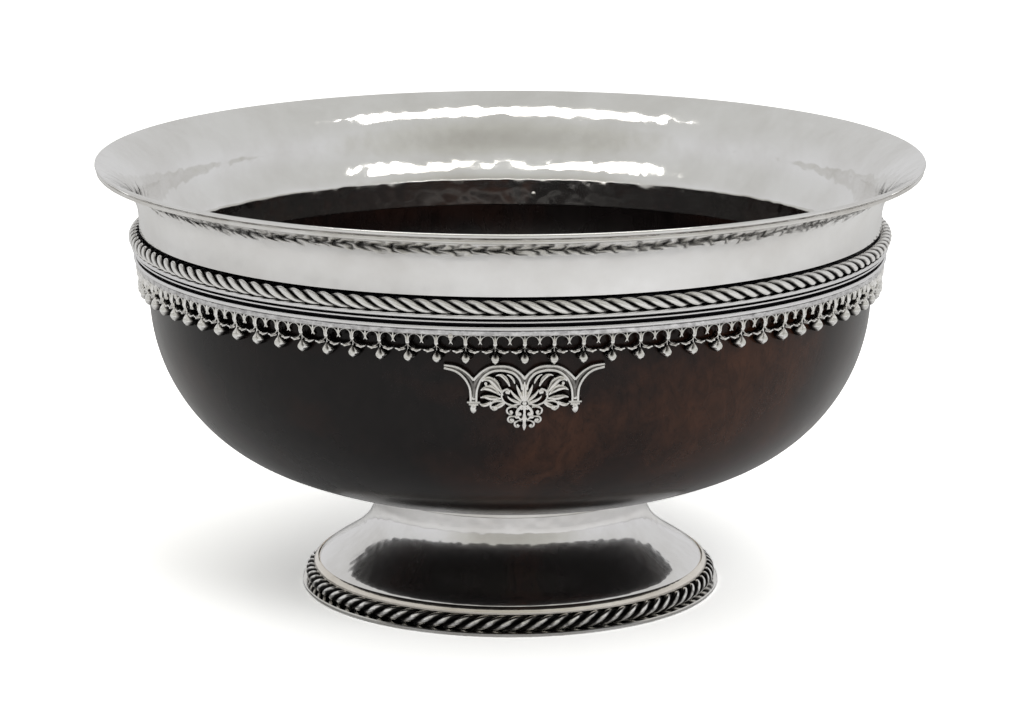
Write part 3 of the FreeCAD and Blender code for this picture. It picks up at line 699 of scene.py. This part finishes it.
def rivet_pair():
    """Outer and inner head of one rivet, at the front, on the rail and on the sleeve."""
    made = bmesh.new()
    for face, reach in head_faces.items():
        spot = Matrix.Translation((0, -face, rivet_height)) @ Matrix.Scale(head_flatness, 4, (0, 1, 0))
        bmesh.ops.create_uvsphere(made, u_segments=14, v_segments=8, radius=reach, matrix=spot)
    for vert in made.verts:
        vert.co /= 1000
    mesh = bpy.data.meshes.new("rivet_pair")
    made.to_mesh(mesh)
    made.free()
    return mesh


rivets = set_round("rivet_heads", rivet_pair(), rivet_bays, polished)
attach(rivets, "root")
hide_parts("mount_rivets")

# The pendant. One casting pinned to the front of the bowl: two round arches with double reeds,
# arms that reach out under the cresting, two short columns ending in buds, and a fan, leaves
# and scrolls that fill the arches and run down to a point.
pendant_gap = 0.1
pendant_depth = 2.4


def wood_radius(up):
    """Radius of the outside of the wood at a height."""
    for (a, z_a), (b, z_b) in zip(bowl_outside, bowl_outside[1:]):
        if z_b <= up <= z_a:
            return a + (b - a) * (z_a - up) / max(z_a - z_b, 1e-6)
    return bowl_outside[0][0]


def pendant_relief():
    made = bmesh.new()
    outer_reed = [(0.0, 102.9), (1.2, 104.5), (3.2, 106.1), (5.4, 106.95), (8.0, 107.15), (10.7, 106.85),
                  (13.1, 105.7), (15.0, 104.0), (16.4, 102.3)]
    inner_reed = [(0.75, 99.2), (1.0, 101.0), (1.9, 103.0), (3.6, 104.7), (5.9, 105.45), (8.0, 105.65),
                  (10.4, 105.3), (12.5, 104.1), (14.1, 102.2), (15.1, 99.8), (15.45, 97.4), (15.5, 94.8)]
    arm_top = [(16.4, 102.3), (17.8, 104.0), (19.8, 105.6), (22.2, 106.7), (25.9, 107.15)]
    arm_under = [(17.3, 94.8), (17.35, 97.4), (17.7, 99.8), (18.9, 102.2), (20.7, 104.2), (22.9, 105.4),
                 (25.9, 106.05)]
    web_arch = [(0.5, 101.5), (1.5, 103.9), (3.4, 105.4), (5.6, 106.2), (8.0, 106.4), (10.6, 106.05),
                (12.9, 104.9), (14.8, 102.9), (16.0, 100.4), (16.4, 97.4), (16.4, 94.6)]
    web_arm = [(16.6, 99.4), (17.6, 102.3), (19.5, 104.4), (21.9, 105.8), (25.9, 106.6)]
    fan = [(0, 95.2, 0.6, 2.0, 0.1), (0, 96.8, 0.95, 2.3, 0.3), (0, 98.6, 1.05, 2.35, 0.35),
           (0, 100.4, 0.8, 2.2, 0.3), (0, 101.9, 0.2, 1.9, 0)]
    fan_sides = [
        [(0.5, 95.3, 0.45, 2.0, 0.1), (1.1, 96.9, 0.7, 2.3, 0.3), (1.75, 98.5, 0.75, 2.3, 0.3),
         (2.3, 99.9, 0.55, 2.2, 0.2), (2.6, 100.9, 0.15, 1.8, 0)],
        [(0.9, 95.2, 0.4, 2.0, 0.1), (2.1, 96.2, 0.65, 2.3, 0.3), (3.2, 97.3, 0.75, 2.3, 0.3),
         (4.1, 98.4, 0.5, 2.2, 0.2), (4.5, 99.2, 0.15, 1.8, 0)],
        [(1.0, 94.9, 0.4, 2.0, 0.1), (2.6, 95.1, 0.62, 2.3, 0.3), (4.0, 95.7, 0.7, 2.3, 0.3),
         (5.1, 96.5, 0.45, 2.2, 0.1), (5.5, 97.1, 0.15, 1.8, 0)],
    ]
    low_fleur = [(0, 93.9, 1.0, 2.3, 0.0), (0, 92.4, 0.75, 2.2, 0.1), (0, 90.8, 0.65, 2.2, 0.1),
                 (0, 89.3, 1.25, 2.35, 0.3), (0, 88.0, 0.85, 2.3, 0.2), (0, 86.7, 1.0, 2.35, 0.25),
                 (0, 85.6, 0.6, 2.1, 0.1), (0, 84.95, 0.15, 1.8, 0)]
    leaves = [
        [(7.0, 97.3, 0.35, 2.0, 0), (8.1, 99.6, 1.0, 2.3, 0.4), (9.6, 101.6, 1.45, 2.35, 0.45),
         (11.3, 102.7, 1.25, 2.3, 0.4), (12.9, 102.6, 0.7, 2.1, 0.2), (13.7, 101.9, 0.2, 1.9, 0)],
        [(7.8, 97.4, 0.35, 2.0, 0), (9.4, 98.7, 1.0, 2.3, 0.4), (11.1, 99.6, 1.35, 2.35, 0.45),
         (12.9, 99.7, 0.95, 2.3, 0.35), (14.1, 98.9, 0.2, 1.9, 0)],
        [(7.6, 96.2, 0.4, 2.0, 0), (9.3, 96.3, 0.95, 2.25, 0.4), (11.0, 96.4, 1.15, 2.3, 0.4),
         (12.8, 96.8, 0.85, 2.2, 0.3), (14.2, 96.4, 0.2, 1.9, 0)],
        [(4.8, 100.4, 0.3, 2.0, 0), (5.6, 102.2, 0.85, 2.3, 0.35), (6.9, 103.7, 0.95, 2.3, 0.35),
         (8.3, 104.2, 0.5, 2.1, 0.1), (9.3, 103.8, 0.15, 1.8, 0)],
        [(3.2, 101.3, 0.25, 1.9, 0), (3.6, 102.6, 0.6, 2.2, 0.3), (4.6, 103.8, 0.55, 2.1, 0.2),
         (5.7, 104.3, 0.15, 1.8, 0)],
        [(0.6, 93.8, 0.6, 2.1, 0), (1.9, 92.6, 0.8, 2.3, 0.2), (2.5, 91.2, 0.7, 2.2, 0.2),
         (2.0, 89.8, 0.55, 2.1, 0.1), (0.9, 88.7, 0.3, 2.0, 0)],
        [(6.2, 94.9, 0.5, 2.1, 0.1), (7.6, 93.9, 1.0, 2.3, 0.35), (9.3, 93.2, 0.9, 2.2, 0.3),
         (10.6, 93.4, 0.2, 1.8, 0)],
        [(10.6, 94.9, 0.5, 2.1, 0), (12.0, 94.2, 0.95, 2.3, 0.35), (13.4, 93.9, 0.85, 2.2, 0.3),
         (14.4, 94.3, 0.2, 1.8, 0)],
    ]
    vines = [
        [(1.2, 94.5), (3.6, 93.9), (6.0, 94.6), (7.3, 96.4), (7.1, 98.4), (5.8, 99.4), (4.9, 98.8),
         (5.1, 97.8)],
        [(6.6, 95.2), (8.8, 95.3), (10.6, 94.6), (10.9, 93.2), (9.9, 92.2), (8.9, 92.6), (9.0, 93.5)],
        [(2.4, 93.2), (4.2, 93.3), (5.6, 92.5), (5.4, 91.1), (4.2, 90.8), (3.9, 91.7)],
        [(1.9, 90.2), (3.4, 90.0), (4.9, 89.8), (5.3, 88.6), (4.4, 87.8), (3.5, 88.4), (3.9, 89.1)],
        [(0.9, 88.5), (2.1, 88.4), (3.1, 87.5), (2.9, 86.4), (2.0, 86.2), (1.6, 86.9)],
    ]
    bud = [(16.4, 93.9, 0.7, 1.8, 0), (16.4, 93.1, 1.15, 2.25, 0), (16.4, 92.2, 1.25, 2.35, 0),
           (16.4, 91.4, 0.95, 2.2, 0), (16.4, 90.75, 0.3, 1.7, 0)]
    pearls = [(5.6, 98.3, 0.7), (9.6, 93.0, 0.6), (4.3, 91.6, 0.62), (4.2, 88.7, 0.58), (2.1, 86.8, 0.5),
              (1.6, 90.7, 0.8), (12.5, 101.2, 0.6), (0.95, 92.6, 0.5)]
    for turned_over in (list, mirrored):
        rib(made, turned_over(web_arch), 1.0, 1.25)
        rib(made, turned_over(web_arm), 0.75, 1.2)
        rib(made, turned_over(outer_reed), 0.56, 2.3)
        rib(made, turned_over(inner_reed), 0.52, 2.2)
        rib(made, turned_over(arm_top), 0.52, 2.3)
        rib(made, turned_over(arm_under), 0.52, 2.2)
        rib(made, turned_over([(14.3, 94.75), (16.4, 94.75), (18.5, 94.75)]), 0.52, 2.35, steps=2)
        rib(made, turned_over([(14.9, 93.9), (16.4, 93.9), (17.9, 93.9)]), 0.42, 2.1, steps=2)
        leaf(made, turned_over(bud))
        for points in fan_sides + leaves:
            leaf(made, turned_over(points))
        for points in vines:
            rib(made, turned_over(points), 0.46, 2.1, steps=4)
        for across, up, size in turned_over(pearls):
            pearl(made, across, up, 1.5, size, rings=5)
    leaf(made, fan)
    leaf(made, low_fleur)
    pearl(made, 0, 103.2, 1.5, 0.75)
    pearl(made, 0, 94.5, 1.5, 0.9)
    return made


pendant_mesh = lay_on_wood(pendant_relief(), "pendant_casting", lambda up: wood_radius(up) + pendant_gap,
                           pendant_depth, cast)
pendant = bpy.data.objects.new("pendant_casting", pendant_mesh)
bpy.context.collection.objects.link(pendant)
pendant.data.polygons.foreach_set("use_smooth", [True] * len(pendant.data.polygons))
pendant.data.set_sharp_from_angle(angle=math.radians(50))
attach(pendant, "root")
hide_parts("pendant")

# The pins of the pendant. Four plain round pins soldered to its back and pushed into the wood.
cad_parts["pendant_pegs"].material_slots[0].material = polished

# The print. A domed silver disc in the bottom of the bowl, with a twisted wire round its edge
# and a plain rosette on it. It hides the stud that holds the foot on.
for node in ("print_disc", "print_rosette"):
    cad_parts[node].material_slots[0].material = polished
print_wire = rope("print_twist", 27.1, 49.1, 1.8, 26, 20, rope_silver)
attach(print_wire, "root")
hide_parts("print_wire")

# The neck of the foot. A plain strip lies under the bowl, and behind it a flat plate closes the
# top of the foot and carries the wood. Stud, washer and nut pull the two together.
top_strip = turn("strip_under_the_bowl", strip_section(48.25, 50.0, 35.2, bowl_bottom, 0.3), polished,
                 steps=200)
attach(top_strip, "root")
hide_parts("foot_top_ring")
for node in ("foot_plate", "print_stud", "foot_washer", "foot_nut"):
    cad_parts[node].material_slots[0].material = polished

# The foot. Neck and spread are one sheet, raised and planished in smaller facets than the lip.
neck_outside = 48.2
neck_inside = 47.0
neck_top = 36.6
foot_silver = silver("foot_silver", (0.92, 0.91, 0.91), 0.09,
                     facet=3.6, facet_depth=0.07, wave_depth=0.22, tarnish=0.14)
foot_outside = sweep((neck_outside, 31.0), (neck_outside, 17.26), (68.2, 12.68), (68.4, 8.1), steps=30)
foot_inside = sweep((neck_inside, 31.0), (neck_inside, 16.66), (67.0, 12.08), (67.2, 8.1), steps=30)
foot_section = [(neck_outside, neck_top), (neck_outside, 33.5)] + foot_outside + foot_inside[::-1]
foot_section += [(neck_inside, 33.5), (neck_inside, neck_top), (neck_outside, neck_top)]
foot = turn("neck_and_foot", foot_section, foot_silver, steps=288, dent=0.12, dent_size=14)
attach(foot, "root")
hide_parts("foot_shell")

# The step, the foot's rope and the flange. A stepped moulding takes the edge of the foot, and
# under it a rope of three twisted wires lies on a thin flange that stands on the table.
wall_inside = 66.2
wall_outside = 67.7
wall_top = 6.5
flange_radius = 74.1
flange_thickness = 1.3
flange_corner = 0.3
step_section = [(wall_inside, wall_top), (69.9, wall_top), (70.15, 6.7), (70.2, 7.3), (70.05, 7.9),
                (69.7, 8.45), (69.2, 8.85), (68.8, 9.15), (68.55, 9.2), (68.5, 8.6), (68.45, 8.1),
                (wall_inside, 8.1), (wall_inside, wall_top)]
creamy = silver("creamy_silver", (0.95, 0.90, 0.83), 0.16,
                facet=3.0, facet_depth=0.06, wave_depth=0.15, tarnish=0.2)
step = turn("foot_step", step_section, creamy, steps=288, dent=0.08, dent_size=10, crisp=40)
foot_rope_silver = worn_silver("foot_rope_silver", 0.86, 0.99, roughness=0.15)
foot_rope = rope("foot_twist", 70.35, 3.9, 5.2, 27, 26, foot_rope_silver)
flange_section = [
    (wall_inside, 0.2),
    (wall_inside + 0.2, 0.0),
    (flange_radius - flange_corner, 0.0),
    (flange_radius, flange_corner),
    (flange_radius, flange_thickness - flange_corner),
    (flange_radius - flange_corner, flange_thickness),
    (wall_outside, flange_thickness),
    (wall_outside, wall_top),
    (wall_inside, wall_top),
    (wall_inside, 0.2),
]
flange = turn("foot_flange", flange_section, polished, steps=288)
for piece, node, slot in ((step, "foot_step_ring", "plain_silver"), (foot_rope, "foot_rope", "cast_silver"),
                          (flange, "base_flange", "plain_silver")):
    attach(piece, "root")
    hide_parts(node)

# The table. A plain white floor that keeps the bowl's shadow. The camera sees its paint brighter
# than the silver does, so that it is white all round and only the shadow stands out.
floor_radius = 6.0
floor_drop = 0.0002


def white_floor():
    material, tree, shader = start_finish("white_floor")[:3]
    tree.nodes.remove(shader)
    paint = put(tree, "ShaderNodeBsdfDiffuse", {"Color": (0.80, 0.80, 0.80, 1)})
    seen_paint = put(tree, "ShaderNodeBsdfDiffuse", {"Color": (2.0, 2.0, 2.0, 1)})
    mirrored_paint = put(tree, "ShaderNodeBsdfDiffuse", {"Color": (0.76, 0.76, 0.77, 1)})
    glow = put(tree, "ShaderNodeEmission", {"Color": (1, 1, 1, 1), "Strength": 0.10})
    lit = put(tree, "ShaderNodeAddShader", {0: seen_paint.outputs[0], 1: glow.outputs[0]})
    rays = put(tree, "ShaderNodeLightPath").outputs
    in_silver = put(tree, "ShaderNodeMixShader", {0: rays["Is Glossy Ray"], 1: paint.outputs[0],
                                                  2: mirrored_paint.outputs[0]})
    mixed = put(tree, "ShaderNodeMixShader",
                {0: rays["Is Camera Ray"], 1: in_silver.outputs[0], 2: lit.outputs[0]})
    tree.links.new(mixed.outputs[0], tree.nodes["Material Output"].inputs["Surface"])
    return material


ground = bmesh.new()
bmesh.ops.create_circle(ground, cap_ends=True, segments=64, radius=floor_radius,
                        matrix=Matrix.Translation((0, 0, -floor_drop)))
floor = bpy.data.objects.new("floor", bpy.data.meshes.new("floor"))
ground.to_mesh(floor.data)
ground.free()
floor.data.materials.append(white_floor())
bpy.context.collection.objects.link(floor)

# The light. A pale grey room, darker where the photographer stands, a soft box overhead, and a
# large soft lamp at the front right that throws the shadow back and to the left.
world = bpy.data.worlds.new("pale_room")
bpy.context.scene.world = world
world.use_nodes = True
sky = world.node_tree
heading = put(sky, "ShaderNodeSeparateXYZ", {0: put(sky, "ShaderNodeTexCoord").outputs["Generated"]}).outputs
level = ramp(sky, heading["Z"], [(0.0, (0.66, 0.66, 0.665)), (0.6, (0.60, 0.60, 0.59)),
                                 (1.0, (0.56, 0.56, 0.54))])
forwards = put(sky, "ShaderNodeMath", {0: heading["Y"], 1: 0.5, 2: 0.5}, operation="MULTIPLY_ADD").outputs[0]
front = ramp(sky, forwards, [(0.0, (0.66, 0.65, 0.60)), (0.12, (0.86, 0.855, 0.81)),
                             (0.28, (1.0, 1.0, 1.0))])
shaded = put(sky, "ShaderNodeMix", {0: 1.0, 6: level, 7: front}, data_type="RGBA", blend_type="MULTIPLY")
rays = put(sky, "ShaderNodeLightPath").outputs
room = put(sky, "ShaderNodeMix", {0: rays["Is Camera Ray"], 6: shaded.outputs[2], 7: (1, 1, 1, 1)},
           data_type="RGBA")
sky.links.new(room.outputs[2], sky.nodes["Background"].inputs["Color"])


def area_lamp(name, across, deep, energy, colour, spot, aim_at):
    """A soft rectangular lamp, so many metres across and deep, turned towards a point."""
    lamp = bpy.data.lights.new(name, "AREA")
    lamp.shape = "RECTANGLE"
    lamp.size = across
    lamp.size_y = deep
    lamp.energy = energy
    lamp.color = colour
    holder = bpy.data.objects.new(name, lamp)
    holder.location = spot
    holder.rotation_euler = (Vector(aim_at) - Vector(spot)).to_track_quat("-Z", "Y").to_euler()
    bpy.context.collection.objects.link(holder)
    return holder


area_lamp("soft_box", 1.05, 0.34, 3.1, (1.0, 0.975, 0.92), (0.0, -0.02, 1.15), (0.0, -0.02, 0.0))
key_lamp = area_lamp("key_lamp", 0.9, 0.7, 9.0, (1.0, 1.0, 1.0), (0.7, -1.35, 1.15), (0.0, 0.0, 0.05))
key_lamp.visible_glossy = False

# The camera. A long lens, a little above the lip, slightly to the left of the pendant.
view_turn = math.radians(-2.1)
view_rise = math.radians(12.74)
camera_distance = 1.414
aim = Vector((0.00064 * math.cos(view_turn), 0.00064 * math.sin(view_turn), 0.08305))
back = Vector((math.sin(view_turn) * math.cos(view_rise), -math.cos(view_turn) * math.cos(view_rise),
               math.sin(view_rise)))
lens = bpy.data.cameras.new("camera")
lens.sensor_width = 36
lens.lens = 140.6
lens.clip_start = 0.05
lens.clip_end = 50
camera = bpy.data.objects.new("camera", lens)
camera.location = aim + back * camera_distance
camera.rotation_euler = (-back).to_track_quat("-Z", "Y").to_euler()
bpy.context.collection.objects.link(camera)
bpy.context.scene.camera = camera
bpy.context.scene.view_settings.view_transform = "Standard"
